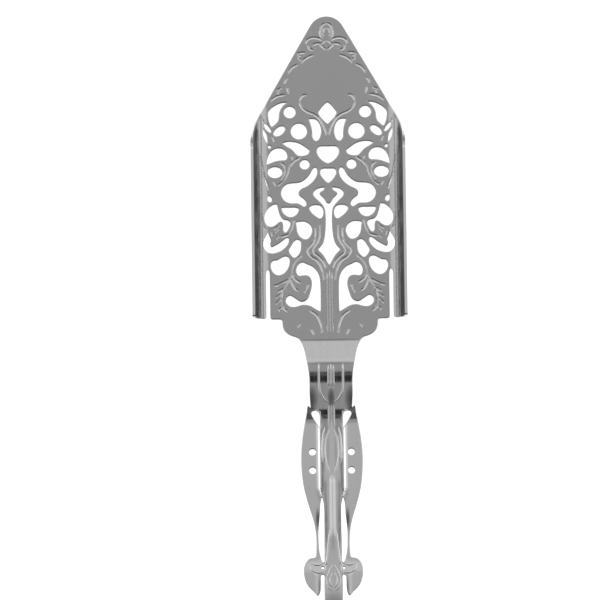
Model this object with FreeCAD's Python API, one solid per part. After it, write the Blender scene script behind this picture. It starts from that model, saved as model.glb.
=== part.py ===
"""Absinthe spoon: one stamped, pierced and folded sheet of stainless steel.

Sizes are millimetres. X is across the spoon, Y runs from the handle to the tip,
Z is up. The underside of the flat blade lies in Z = 0 and the blade meets the
neck near Y = 0. Both halves of the spoon are mirror images about X = 0.
"""
import FreeCAD
import Part
import math
import os

V = FreeCAD.Vector

# Sheet and blade
sheet = 1.0             # thickness of the metal everywhere
blade_length = 79.45    # heel line to the top of the rounded nose
nose_radius = 4.65
taper = math.radians(30.0)      # slope of each side of the pointed end
flat_half = 14.4        # half width of the flat floor, where the side folds start
fold_radius = 4.0       # inside radius of the folded sides
fold_lip = 0.5          # straight metal above each fold
fold_end = 2.8          # the folded sides and the floor stop here above the heel
punch_turn = 0.45       # turn between the short steps of a punched outline, radians

# Neck and handle, as distances south of the heel line
neck_start = 2.3
handle_end = 84.0
rise_slope = 0.53       # climb of the neck out of the blade
hump_height = 3.13      # top of the hump above the floor of the blade
fall_slope = 0.22       # fall of the neck behind the hump
dip_height = 0.99       # lowest place behind the hump, where the glass rim sits
handle_slope = 0.08     # gentle climb of the handle to its end
leaf_drop = 0.75        # how far the leaf beside the rib lies below the rib

# Ornament lines: pressed into the blade, raised along the middle and on the handle
line_width = 0.44
line_depth = 0.2

# Helpers for cutting
below = -5.0            # heights clear of the part, under and over it
above = 20.0
spare = 1.0             # how far a cut or a strip runs past an edge
side_reach = 9.0        # a little more than half the widest place of the handle
fold_steps = 14         # places where the taper is measured round the fold

mid_radius = fold_radius + sheet / 2
apex_y = blade_length + nose_radius * (1 / math.sin(taper) - 1)
blank_half = flat_half + mid_radius * math.pi / 2 + fold_lip


def tip(x, y):
    """A sharp corner of an outline; plain pairs are passed smoothly."""
    return (x, y, True)


def smooth_curve(points, closed=False):
    curve = Part.BSplineCurve()
    curve.interpolate(Points=[V(p[0], p[1], 0) for p in points], PeriodicFlag=closed)
    return curve


def runs(points):
    """Split a closed list of points at its sharp corners."""
    corners = [i for i, p in enumerate(points) if len(p) == 3]
    loop = points[corners[0]:] + points[:corners[0] + 1]
    parts = []
    part = [loop[0]]
    for p in loop[1:]:
        part.append(p)
        if len(p) == 3:
            parts.append(part)
            part = [p]
    return parts


def outline(points):
    """Closed wire of smooth curves and lines, broken only at the sharp corners."""
    edges = []
    for part in runs(points):
        if len(part) == 2:
            edges.append(Part.makeLine(V(*part[0][:2], 0), V(*part[1][:2], 0)))
        else:
            edges.append(smooth_curve(part).toShape())
    return Part.Wire(edges)


def punch(points):
    """Outline of a small punched opening: a smooth curve taken in short straight steps."""
    if not any(len(p) == 3 for p in points):
        curve = smooth_curve(points, True).toShape()
        steps = curve.discretize(Angular=punch_turn, Curvature=1.0, Minimum=8)
    else:
        steps = []
        for part in runs(points):
            ends = [V(p[0], p[1], 0) for p in part]
            if len(part) > 2:
                curve = smooth_curve(part).toShape()
                ends = curve.discretize(Angular=punch_turn, Curvature=1.0, Minimum=2)
            steps += ends[:-1]
        steps.append(steps[0])
    return Part.makePolygon(steps)


def prism(wire, low, high):
    """Solid between two heights; its walls are ruled straight up the outline."""
    under = wire.copy()
    under.translate(V(0, 0, low))
    over = wire.copy()
    over.translate(V(0, 0, high))
    return Part.makeLoft([under, over], True, True)


def flipped(shape):
    """The same shape on the left half of the spoon."""
    return shape.mirror(V(0, 0, 0), V(1, 0, 0))


def on_both_sides(shapes):
    return shapes + [flipped(shape) for shape in shapes]


def through(wire):
    """Tool that punches straight through the part."""
    return prism(wire, below, above)


def stroke(points):
    """Outline of an ornament line through the points, drawn to a point at both ends."""
    left = []
    right = []
    for before, here, after in zip(points, points[1:], points[2:]):
        along = V(after[0] - before[0], after[1] - before[1], 0).normalize()
        aside = V(-along.y, along.x, 0) * (line_width / 2)
        left.append(V(*here, 0) + aside)
        right.append(V(*here, 0) - aside)
    start = V(*points[0], 0)
    return Part.makePolygon([start] + left + [V(*points[-1], 0)] + right[::-1] + [start])


def mirrored(points):
    return [(-p[0],) + tuple(p[1:]) for p in reversed(points)]


def both_sides(half):
    """Loop made of a right half, listed bottom to top, and its mirror image."""
    left = mirrored(half)
    if half[-1][0] == 0:
        left = left[1:]
    if half[0][0] == 0:
        left = left[:-1]
    return half + left


def oval(x, y, long_half, short_half, turn=0.0):
    """Oval outline made of arcs; turn is in degrees."""
    turn = math.radians(turn)
    points = []
    for step in range(8):
        a = long_half * math.cos(step * math.pi / 4)
        b = short_half * math.sin(step * math.pi / 4)
        points.append((x + a * math.cos(turn) - b * math.sin(turn),
                       y + a * math.sin(turn) + b * math.cos(turn)))
    return punch(points)


def round_hole(x, y, radius):
    return oval(x, y, radius, radius)


# Openings on the centre line of the blade, right half of each
centre_openings = [
    # diamond below the tip
    [tip(0, 52.05), (1.0, 53.1), (1.85, 54.05), tip(2.35, 55.05), (1.2, 56.6), tip(0, 57.75)],
    # large shield
    [tip(0, 42.1), (0.9, 42.5), (1.9, 43.35), (2.55, 44.3), (2.8, 45.2), (2.55, 46.1),
     (1.9, 46.45), (0, 46.45)],
    # small shield
    [tip(0, 37.05), (0.65, 37.6), (1.35, 38.4), (1.95, 39.4), (1.95, 40.35), (1.5, 40.8),
     (0, 40.8)],
    # vase: a slender slot with two curled arms
    [tip(0, 16.3), (0.55, 17.3), (1.1, 18.35), (1.7, 19.2), tip(2.85, 20.35), (2.1, 21.1),
     (1.5, 21.95), (1.1, 23.4), (0.85, 25.4), (0.75, 28.0), (0.9, 30.4), (1.4, 31.5),
     (2.6, 32.8), (3.5, 33.7), (3.85, 34.5), (3.4, 35.3), (2.4, 35.85), tip(0.85, 36.1),
     (1.25, 35.25), (2.1, 34.85), (2.3, 34.4), (1.75, 33.85), (1.1, 33.2), (0.6, 32.3),
     (0, 31.85)],
]

# Openings of the right half of the blade; each is repeated on the left
paired_openings = [
    # outer crescent
    [tip(10.0, 57.65), (11.4, 57.6), (12.8, 57.05), (14.1, 56.2), (14.85, 55.1), (14.8, 53.8),
     (14.5, 52.5), tip(14.0, 51.4), (13.2, 52.1), (12.45, 52.9), (12.2, 53.9), (12.1, 55.0),
     (11.65, 56.1), (10.9, 57.0)],
    # kidney
    [(3.0, 53.3), tip(4.75, 53.45), (4.15, 51.9), (3.85, 50.3), (3.8, 48.8), (3.2, 47.85),
     (2.4, 48.0), (1.85, 49.1), (1.65, 50.7), (2.1, 52.3)],
    # slender leaf in the fold
    [tip(16.4, 51.1), (15.7, 50.2), (15.2, 49.1), tip(15.05, 47.2), (15.9, 48.4), (16.3, 49.7)],
    # upper petal
    [tip(4.5, 45.4), (5.0, 44.5), (6.3, 44.1), (7.6, 44.2), (8.4, 45.1), (9.2, 45.9),
     (10.3, 46.5), tip(11.5, 47.3), (10.2, 47.7), (8.6, 47.65), (7.2, 47.25), (6.1, 46.6)],
    # upper cheek
    [(10.15, 44.0), (10.4, 45.0), (11.2, 45.85), (12.4, 46.1), (13.5, 45.85), (14.3, 45.2),
     (15.0, 43.9), tip(15.5, 41.95), (14.5, 42.3), (13.2, 42.8), (11.8, 43.0), (10.5, 43.1)],
    # long sinuous opening
    [(2.7, 40.5), (2.8, 39.4), (3.3, 38.3), (4.3, 37.15), (5.6, 36.25), (6.8, 35.7),
     (7.5, 34.9), (7.3, 34.0), (6.3, 33.25), (5.65, 32.5), (5.5, 31.7), (6.1, 31.1),
     (6.8, 31.6), (7.8, 32.1), (9.4, 32.1), (10.8, 32.6), (11.6, 33.7), (11.85, 34.9),
     (11.3, 36.2), (10.2, 37.0), (8.6, 37.2), (7.0, 37.4), (5.7, 38.2), (4.6, 39.4),
     (3.9, 40.7), (3.2, 41.2)],
    # opening beside the vase
    [(1.9, 31.3), (2.9, 31.6), (4.1, 31.5), (4.9, 30.95), (4.6, 30.1), (3.9, 29.3),
     (3.0, 28.6), (2.1, 28.1), (1.5, 28.8), (1.35, 30.2)],
    # half moon
    [tip(7.35, 30.7), (8.4, 31.05), (9.6, 31.0), (10.8, 31.05), tip(11.9, 31.0),
     (11.4, 29.7), (10.5, 28.9), (9.5, 28.6), (8.4, 28.95), (7.7, 29.7)],
    # lower cheek, with the tongue of metal that ends in the star
    [tip(12.9, 31.95), (14.1, 31.7), (15.1, 30.7), (16.0, 29.4), (16.2, 28.1), (15.7, 26.8),
     (14.6, 26.2), (13.4, 26.6), (12.4, 27.45), (11.6, 27.4), (11.4, 26.5), (11.4, 25.3),
     (10.9, 24.6), (10.3, 25.2), (9.8, 26.2), (9.55, 27.2), (10.2, 27.8), (11.3, 28.0),
     (12.1, 28.9), (12.55, 30.2)],
    # slit between the cheek openings
    [(14.4, 33.8), (15.0, 34.1), (15.4, 33.4), (15.1, 32.5), (14.4, 32.35), (14.1, 33.0)],
    # leaf at the stem
    [(5.9, 27.4), (7.0, 27.45), tip(8.3, 27.3), (8.05, 26.2), (7.9, 24.9), (7.3, 23.7),
     (6.4, 23.05), (5.4, 23.0), (4.6, 23.9), (4.2, 25.2), (4.6, 26.5)],
    # kite
    [tip(7.0, 22.45), (8.0, 22.95), (8.9, 22.3), (9.55, 21.2), (10.1, 20.3), (9.7, 19.2),
     tip(8.8, 18.2), (7.9, 18.8), (7.25, 19.8), (7.05, 21.1)],
    # hook below the star
    [(10.0, 22.9), (10.2, 21.9), (10.9, 21.0), (12.0, 20.1), (13.4, 19.6), (14.8, 19.5),
     (15.9, 20.1), (16.6, 21.2), (16.5, 22.6), (15.9, 23.7), tip(15.25, 24.95), (14.95, 23.9),
     (14.5, 22.9), (14.75, 21.9), tip(14.45, 20.95), (13.4, 21.5), (12.2, 22.2), (11.1, 23.05),
     (10.3, 23.5)],
    # oval by the side leaf
    [(10.1, 18.4), (11.2, 18.7), (12.2, 18.2), (13.1, 17.7), (14.1, 17.65), (14.65, 16.6),
     (14.35, 15.1), (13.4, 14.1), (12.2, 14.0), (11.0, 14.75), (10.2, 16.0), (9.9, 17.4)],
    # tall hook above the heel
    [tip(2.35, 4.6), (2.3, 7.5), (2.3, 10.4), (2.45, 13.1), (3.1, 14.8), (4.2, 16.0),
     (5.5, 16.6), (6.8, 17.15), (7.9, 16.4), (8.3, 15.1), (7.8, 13.75), (6.6, 13.85),
     (5.3, 13.75), (4.5, 12.7), (4.45, 11.2), (4.9, 9.4), (5.6, 7.8), (7.1, 7.15),
     (8.5, 7.95), (9.9, 8.8), (10.9, 8.1), (10.9, 6.9), (9.9, 6.0), (8.4, 5.95),
     (6.8, 6.4), (5.1, 6.2), (3.7, 5.4)],
]

paired_wires = [
    round_hole(9.45, 55.15, 1.5),
    round_hole(7.2, 50.3, 2.03),
    round_hole(5.85, 41.85, 1.25),
    round_hole(14.6, 46.4, 0.5),
    oval(12.1, 50.4, 1.75, 1.0, -38),
    oval(14.95, 51.2, 1.5, 0.6, 52),
    oval(13.3, 39.95, 1.87, 1.42),
]

# The narrow way between the leaf panel and the folded side, open at the heel
side_slot = [tip(14.9, fold_end - spare), tip(14.9, 14.2), (15.0, 15.0), (15.4, 15.5),
             (15.85, 15.0), tip(16.0, 14.2), tip(16.0, fold_end - spare)]

# Right side of the heel, from the neck outward
heel = [(7.65, -neck_start), (8.3, -1.8), (9.3, -1.55), (10.3, -1.1), (11.1, -0.5),
        (11.65, 0.25), (11.9, 1.2), tip(11.95, fold_end)]

# Right side of the neck, rib and stem, from the blade to the end of the handle
stem_side = [
    tip(7.65, -neck_start), (7.1, -3.5), (6.65, -4.7), (6.1, -7.6), (5.75, -9.6), (5.5, -11.6),
    (5.4, -13.6), (5.4, -16.0), (5.3, -18.0), tip(5.15, -20.1), (4.0, -20.6), tip(2.9, -21.5),
    tip(2.9, -40.3), (2.8, -41.3), (2.5, -42.5), (2.2, -44.0), tip(2.1, -46.0), (2.1, -50.0),
    (2.2, -54.0), (2.2, -62.0), (2.3, -65.0), tip(2.3, -69.0), (2.5, -72.5), (3.1, -76.5),
    (3.5, -79.5), (3.1, -82.0), (1.8, -83.6), (0, -handle_end),
]

# Right leaf, its thin rod and the lobe, one loop; it reaches under the rib
leaf = [
    tip(5.75, -18.4), (6.15, -20.7), (6.55, -22.7), (6.95, -24.9), (7.4, -27.9), (7.7, -31.8),
    (7.6, -35.8), (7.1, -39.9), (6.1, -43.9), (5.0, -47.5), (4.4, -50.3), (4.15, -53.5),
    tip(4.3, -57.7), tip(5.9, -57.8), (6.75, -58.7), (7.3, -60.0), (7.4, -61.6), (6.9, -63.9),
    (5.9, -65.4), (4.7, -66.6), tip(3.95, -67.7), (3.35, -66.6), (3.2, -64.9), tip(3.15, -62.0),
    tip(1.5, -61.9), tip(1.5, -59.0), tip(2.9, -58.7), (3.45, -56.0), (3.6, -53.5),
    (3.6, -50.8), (3.4, -48.6), (3.2, -46.4), (3.05, -44.0), tip(2.7, -42.2), tip(1.9, -42.2),
    tip(1.9, -19.7), tip(4.75, -19.7), tip(5.15, -20.1),
]

# Openings of the right half of the handle; each is repeated on the left
handle_wires = [
    # teardrop at the root of the rib
    punch([(5.05, -20.9), (4.3, -20.4), (3.4, -20.6), tip(2.9, -21.5), tip(2.9, -24.9),
           (3.7, -23.6), (4.5, -22.2)]),
    round_hole(4.85, -30.9, 0.9),
    round_hole(4.85, -35.6, 0.9),
    oval(2.62, -60.4, 0.55, 0.42),
]

# Lines pressed into the right half of the floor; each is repeated on the left
floor_lines = [
    # calyx under the plain field
    [(5.1, 59.4), (6.2, 59.3), (6.8, 57.8), (6.0, 55.95), (3.5, 54.6), (2.1, 53.3), (1.2, 51.9),
     (0.4, 49.6)],
    # cheek stem
    [(6.8, 43.8), (8.4, 42.8), (9.4, 41.6), (10.0, 40.0), (10.5, 38.6), (11.5, 37.5),
     (12.9, 36.5)],
    # ring round the eye
    [(12.05, 42.4), (10.95, 41.4), (10.85, 39.8), (11.6, 38.4), (12.3, 37.9)],
    # stem to the star
    [(8.75, 27.9), (9.1, 26.2), (9.9, 24.4), (11.0, 23.85), (12.3, 23.6)],
    # vase, inner and outer line
    [(2.3, 26.7), (2.4, 23.6), (3.0, 22.1), (4.0, 20.3), (2.5, 18.4), (1.3, 16.9), (0.8, 15.3)],
    [(3.4, 26.0), (3.5, 23.6), (4.1, 22.0), (5.4, 20.1), (4.3, 18.3), (3.3, 17.7), (2.3, 16.3),
     (1.7, 14.6), (1.4, 12.3)],
    # stem of the side leaf and its branches
    [(6.8, 18.9), (8.2, 17.5), (9.1, 15.9), (9.45, 14.0), (10.5, 11.8), (11.8, 10.0),
     (12.0, 8.05), (11.95, 6.2), (13.0, 4.6)],
    [(10.0, 13.0), (11.4, 12.1), (14.0, 11.25)],
    [(11.2, 10.8), (12.3, 10.0), (13.4, 9.6)],
    [(12.0, 8.05), (12.6, 7.3), (13.7, 6.5)],
    [(9.4, 14.2), (8.9, 13.1), (7.3, 11.9)],
    [(9.9, 12.9), (9.2, 11.4), (7.6, 9.8)],
    # heel
    [(5.1, 4.75), (3.9, 4.15), (2.75, 2.6), (2.2, 0.8), (2.0, -1.2)],
    # bud at the tip and the scroll beside it
    [(0.15, 77.7), (1.1, 77.1), (1.6, 75.6), (1.3, 74.4), (0.4, 73.5)],
    [(0.9, 73.2), (2.0, 73.8), (4.0, 73.9), (5.1, 73.1), (5.2, 72.1)],
    [(1.3, 72.4), (2.5, 72.5), (3.7, 71.8)],
    # border of the plain field
    [(3.1, 69.6), (4.7, 69.1), (6.0, 68.2), (6.6, 67.3)],
    [(7.1, 67.3), (8.6, 66.6), (9.9, 64.9)],
    [(9.6, 63.8), (10.5, 63.1), (10.7, 61.9)],
    [(14.2, 58.1), (12.6, 59.1), (10.4, 59.6)],
]

# Raised lines of the right half of the handle
handle_lines = [
    # long line of the neck, meeting its mirror image at the centre
    [(3.0, -8.3), (3.0, -10.0), (3.0, -13.6), (2.6, -15.4), (1.6, -16.9), (0.5, -17.5)],
    # ribs beside the centre line
    [(0.66, -8.8), (0.66, -10.0), (0.66, -18.0), (0.66, -19.4)],
    # lens on the rib
    [(0.5, -25.2), (1.4, -27.6), (1.7, -30.0), (1.7, -32.0), (1.2, -34.5), (0.5, -36.6)],
    # fork towards the bud
    [(0.75, -50.8), (1.1, -53.6), (1.45, -57.5), (1.75, -59.6)],
    # bud
    [(0.15, -59.4), (0.9, -61.1), (1.65, -63.2), (1.6, -64.8), (0.4, -66.3)],
]

# Raised lines along the middle, from one end to the other
centre_rib = [(0, 15.0), (0, 13.0), (0, 1.0), (0, -1.0)]
outer_rib = [(0.66, 14.4), (0.66, 12.0), (0.66, 1.0), (0.66, -1.0)]
neck_rib = [(0, -8.6), (0, -10.0), (0, -24.0), (0, -25.4)]

# Side line of the neck: distance south, height of the upper face, slope
top = sheet
neck_line = [
    (neck_start, top, 0.0),
    (2.6, top + 0.08, rise_slope),
    (7.9, top + hump_height - 0.24, rise_slope),
    (8.8, top + hump_height, 0.02),
    (10.2, top + hump_height - 0.03, -0.06),
    (13.5, top + hump_height - 0.49, -fall_slope),
    (19.8, top + dip_height + 0.27, -fall_slope),
    (23.6, top + dip_height, handle_slope),
]


def strip(drop):
    """Sheet of constant height thickness that follows the side line, seen from the side."""
    upper = []
    for (s0, z0, m0), (s1, z1, m1) in zip(neck_line, neck_line[1:]):
        reach = (s1 - s0) / 3
        curve = Part.BezierCurve()
        curve.setPoles([V(0, -s0, z0), V(0, -s0 - reach, z0 + reach * m0),
                        V(0, -s1 + reach, z1 - reach * m1), V(0, -s1, z1)])
        upper.append(curve.toShape())
    last_s, last_z, slope = neck_line[-1]
    beyond = handle_end + spare
    far = V(0, -beyond, last_z + (beyond - last_s) * slope)
    upper.append(Part.makeLine(V(0, -last_s, last_z), far))
    line = Part.Wire(upper)
    line.translate(V(-side_reach, 0, -drop))
    return line.extrude(V(2 * side_reach, 0, 0)).extrude(V(0, 0, -sheet))


def handle():
    body = strip(0).common(through(outline(both_sides(stem_side[::-1]))))
    right = strip(leaf_drop).common(through(outline(leaf)))
    raised = strip(-line_depth)
    lines = on_both_sides([raised.common(through(stroke(points))) for points in handle_lines])
    lines.append(raised.common(through(stroke(neck_rib))))
    body = body.fuse([right, flipped(right)] + lines)
    return body.cut(on_both_sides([through(wire) for wire in handle_wires]))


def edge_y(across):
    """Where the tapering edge of the flat blank lies, measured along the metal."""
    return apex_y - across / math.tan(taper)


def flat_floor():
    """Flat floor of the blade between the two folds, with its ribs and pressed lines."""
    across = nose_radius * math.cos(taper)
    touch = V(across, edge_y(across), 0)
    side = Part.makePolygon([
        V(*heel[-1][:2], 0), V(flat_half, fold_end, 0), V(flat_half, edge_y(flat_half), 0), touch,
    ])
    edges = on_both_sides([smooth_curve(heel).toShape()] + side.Edges)
    edges.append(Part.Arc(touch, V(0, blade_length, 0), V(-touch.x, touch.y, 0)).toShape())
    edges.append(Part.makeLine(V(heel[0][0], -neck_start, 0), V(-heel[0][0], -neck_start, 0)))
    floor = prism(Part.Wire(Part.__sortEdges__(edges)), 0, sheet)
    outer = prism(stroke(outer_rib), sheet / 2, sheet + line_depth)
    middle = prism(stroke(centre_rib), sheet / 2, sheet + line_depth)
    lines = [prism(stroke(points), sheet - line_depth, above) for points in floor_lines]
    return floor.fuse([outer, flipped(outer), middle]).cut(on_both_sides(lines))


def on_fold(across, radius):
    """Point on the fold at a distance along the metal, at a radius from its axis."""
    angle = (across - flat_half) / mid_radius
    axis_z = sheet + fold_radius
    if angle <= math.pi / 2:
        x = flat_half + radius * math.sin(angle)
        z = axis_z - radius * math.cos(angle)
    else:
        x = flat_half + radius
        z = axis_z + mid_radius * (angle - math.pi / 2)
    return V(x, edge_y(across), z)


def folded_side():
    """Right folded side: a quarter bend with a short lip, cut along the taper."""
    outer = fold_radius + sheet
    axis_z = outer
    lip_z = axis_z + fold_lip
    half_turn = math.sqrt(0.5)
    a = V(flat_half, fold_end, 0)
    b = V(flat_half + outer, fold_end, axis_z)
    c = V(flat_half + outer, fold_end, lip_z)
    d = V(flat_half + fold_radius, fold_end, lip_z)
    e = V(flat_half + fold_radius, fold_end, axis_z)
    f = V(flat_half, fold_end, sheet)
    under = V(flat_half + outer * half_turn, fold_end, axis_z - outer * half_turn)
    inside = V(flat_half + fold_radius * half_turn, fold_end, axis_z - fold_radius * half_turn)
    section = Part.Wire([
        Part.Arc(a, under, b).toShape(), Part.makeLine(b, c), Part.makeLine(c, d),
        Part.makeLine(d, e), Part.Arc(e, inside, f).toShape(), Part.makeLine(f, a),
    ])
    side = Part.Face(section).extrude(V(0, edge_y(flat_half) + spare - fold_end, 0))
    start = flat_half - spare / 2
    step = (blank_half + spare / 2 - start) / fold_steps
    steps = [start + step * i for i in range(fold_steps + 1)]
    rails = []
    for radius in (fold_radius - spare / 2, outer + spare / 2):
        curve = Part.BSplineCurve()
        curve.interpolate([on_fold(across, radius) for across in steps])
        rails.append(curve.toShape())
    beyond = Part.makeRuledSurface(rails[0], rails[1]).extrude(V(0, blade_length, 0))
    return side.cut(beyond)


def blade():
    right = folded_side()
    body = flat_floor().fuse([right, flipped(right)]).removeSplitter()
    middle = [through(punch(both_sides(half))) for half in centre_openings]
    wires = [punch(points) for points in paired_openings + [side_slot]] + paired_wires
    return body.cut(middle + on_both_sides([through(wire) for wire in wires]))


spoon = blade().fuse(handle()).removeSplitter()
os.makedirs("parts", exist_ok=True)
spoon.Solids[0].exportStep("parts/spoon.step")
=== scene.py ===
"""Looks of the absinthe spoon: its polished sheet, ornament lines, floor, light and camera.

Plan sizes are millimetres, as in the part's source, and are turned to metres where a
mesh is made. X is across the spoon, Y runs to the tip and Z is up. The plan of the
folded sides is measured along the metal, so it is flat like a blank before folding.
"""
import functools
import math

import bpy
import numpy as np
from mathutils import Matrix, Vector
from mathutils.geometry import delaunay_2d_cdt
from mathutils.kdtree import KDTree


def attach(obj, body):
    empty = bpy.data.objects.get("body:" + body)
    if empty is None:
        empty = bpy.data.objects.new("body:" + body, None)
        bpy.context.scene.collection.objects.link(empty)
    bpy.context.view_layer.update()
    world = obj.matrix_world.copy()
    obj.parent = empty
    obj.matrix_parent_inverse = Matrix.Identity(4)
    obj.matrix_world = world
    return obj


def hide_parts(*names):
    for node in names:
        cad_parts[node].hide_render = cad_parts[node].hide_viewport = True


MM = 0.001

# Sheet and blade, from the source
sheet = 1.0
blade_length = 79.45
nose_radius = 4.65
taper = math.radians(30.0)
flat_half = 14.4
fold_radius = 4.0
fold_lip = 0.5
fold_end = 2.8
mid_radius = fold_radius + sheet / 2
apex_y = blade_length + nose_radius * (1 / math.sin(taper) - 1)
blank_half = flat_half + mid_radius * math.pi / 2 + fold_lip

# Neck and handle, from the source
neck_start = 2.3
handle_end = 84.0
rise_slope = 0.53
hump_height = 3.13
fall_slope = 0.22
dip_height = 0.99
handle_slope = 0.08
leaf_drop = 0.75
rib_half = 3.0
neck_limit = -neck_start + 0.001  # south of this the plan is neck or handle

# Finer shape of the handle, only here
rib_bevel = (0.36, 0.25)  # width and fall of the bevel along the rib
rib_wall = (0.41, 0.33)  # width and fall of the wall below it
foot_width = 1.1  # soft foot of that wall
stem_ridge = (0.85, 0.24)  # half width and height of the low ridge along the stem
ridge_crest = 0.04  # half width of its soft crest
stem_step = 0.9  # how much narrower than the rib the stem is, on each side
facet_fall = 0.12  # fall of the soft round of the stem
facet_limit = 2.6  # half width beyond which there is no such round
roll_fall = 0.3  # how far the neck rolls down at its sides
step_south = 19.75  # where the neck steps down to the leaves
step_bend = (4.9, 2.0)  # half width where that step bends, width of the slanting part
step_slant = 0.45  # how far it runs south for each millimetre inwards
step_length = 0.25
neck_edge = (5.2, 20.1, 0.18)  # half width of the neck, distance south there, its slant
neck_edge_width = 0.1
neck_edge_start = 17.9

# Zones of the handle: where each starts and the length over which it comes in
stem_narrows = (40.0, 4.0)
leaves_end = (58.0, 4.0)
facet_starts = (38.0, 3.0)
facet_ends = (63.0, 4.0)
facet_across = (0.8, 1.2)
ridge_starts = (36.5, 2.0)
ridge_ends = (50.0, 7.0)
roll_starts = (14.0, 6.0)
roll_across = (3.0, 2.4)

# Edges and samples
top_round = 0.2  # rounding of the upper rims
under_round = 0.06  # rounding of the lower rims
rim_turns = (0, 30, 60, 90, 90, 135, 180)  # turn of the normal at each ring of a rim
upper_rings = 4  # how many of these rings belong to the upper face
edge_step = 0.28  # distance between points along the rim of an opening
outer_step = 0.45  # the same along the outer edge
curve_steps = 12  # points of a smooth line between two given ones
oval_steps = 12  # points that set out a round or oval opening
nose_steps = 12  # parts of the rounded tip
corner_cosine = 0.66  # keeps a sharp corner of a ring from reaching too far
sliver = 0.01  # doubled area of a triangle too small to be metal
lip_zone = 0.05  # how near its edge a folded side counts as lip
lip_rings = [  # lip of a folded side: in from the edge, down in the sheet, turn
    (0.25, 0.0, 0),
    (0.12, 0.03, 30),
    (0.04, 0.12, 60),
    (0.0, 0.26, 112),
    (0.28, 0.88, 112),
    (0.37, 0.97, 150),
    (0.5, 1.0, 180),
]

# Ornament lines: pressed into the blade, raised along the middle and on the handle
groove_slopes = [  # distance from the middle of a pressed line, slope there
    (0.0, 0.0),
    (0.07, 0.45),
    (0.2, 0.45),
    (0.25, 0.72),
    (0.31, 0.72),
    (0.35, 0.0),
]
rib_size = (0.6, 0.2)  # width and height of a rib along the middle
handle_line = (0.6, 0.22)  # width and height of a raised line on the handle
line_step = 0.3  # distance between points along a line
line_end = 0.35  # size of a raised line at its very end
line_taper = 5  # points over which it grows to its full size
line_clear = 0.12  # closest a raised line comes to a rim
bead_sides = 12
groove_parts = 60  # samples across a pressed line
groove_step = 0.05  # distance between the points that a pressed line is found by
groove_taper = 0.7  # length over which its ends run out

# Grid of extra points where the metal is curved
fold_columns = np.concatenate([np.arange(flat_half, blank_half, 0.42), [blank_half - 0.3]])
fold_rows = np.arange(fold_end + 0.4, 60.0, 1.2)
handle_columns = np.concatenate([[0.0, 0.1], np.arange(0.35, 1.3, 0.3),
                                 np.arange(1.3, 4.3, 0.13), np.arange(4.4, 7.8, 0.3)])
handle_rows = np.concatenate([np.arange(2.0, -2.1, -0.5), [-2.2, -2.35, -2.5],
                              np.arange(-2.7, -24.0, -0.35), np.arange(-24.0, -84.0, -0.8)])
grid_clear = 0.34  # closest a point of the grid comes to a rim
row_clear = 0.06  # closest a row beside a pressed line comes to a rounded rim
row_slack = 0.02  # how much nearer another line may be before a row stops


def corner(x, y):
    """A sharp corner of an outline; plain pairs are passed smoothly."""
    return (x, y, True)


# Openings on the centre line of the blade, right half of each
centre_openings = [
    # diamond below the tip
    [corner(0, 52.05), (1.0, 53.1), (1.85, 54.05), corner(2.35, 55.05), (1.2, 56.6),
     corner(0, 57.75)],
    # large shield
    [corner(0, 42.1), (0.9, 42.5), (1.9, 43.35), (2.55, 44.3), (2.8, 45.2), (2.55, 46.1),
     (1.9, 46.45), (0, 46.45)],
    # small shield
    [corner(0, 37.05), (0.65, 37.6), (1.35, 38.4), (1.95, 39.4), (1.95, 40.35), (1.5, 40.8),
     (0, 40.8)],
    # vase: a slender slot with two curled arms
    [corner(0, 16.3), (0.55, 17.3), (1.1, 18.35), (1.7, 19.2), corner(2.85, 20.35), (2.1, 21.1),
     (1.5, 21.95), (1.1, 23.4), (0.85, 25.4), (0.75, 28.0), (0.9, 30.4), (1.4, 31.5),
     (2.6, 32.8), (3.5, 33.7), (3.85, 34.5), (3.4, 35.3), (2.4, 35.85), corner(0.85, 36.1),
     (1.25, 35.25), (2.1, 34.85), (2.3, 34.4), (1.75, 33.85), (1.1, 33.2), (0.6, 32.3),
     (0, 31.85)],
]

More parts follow.
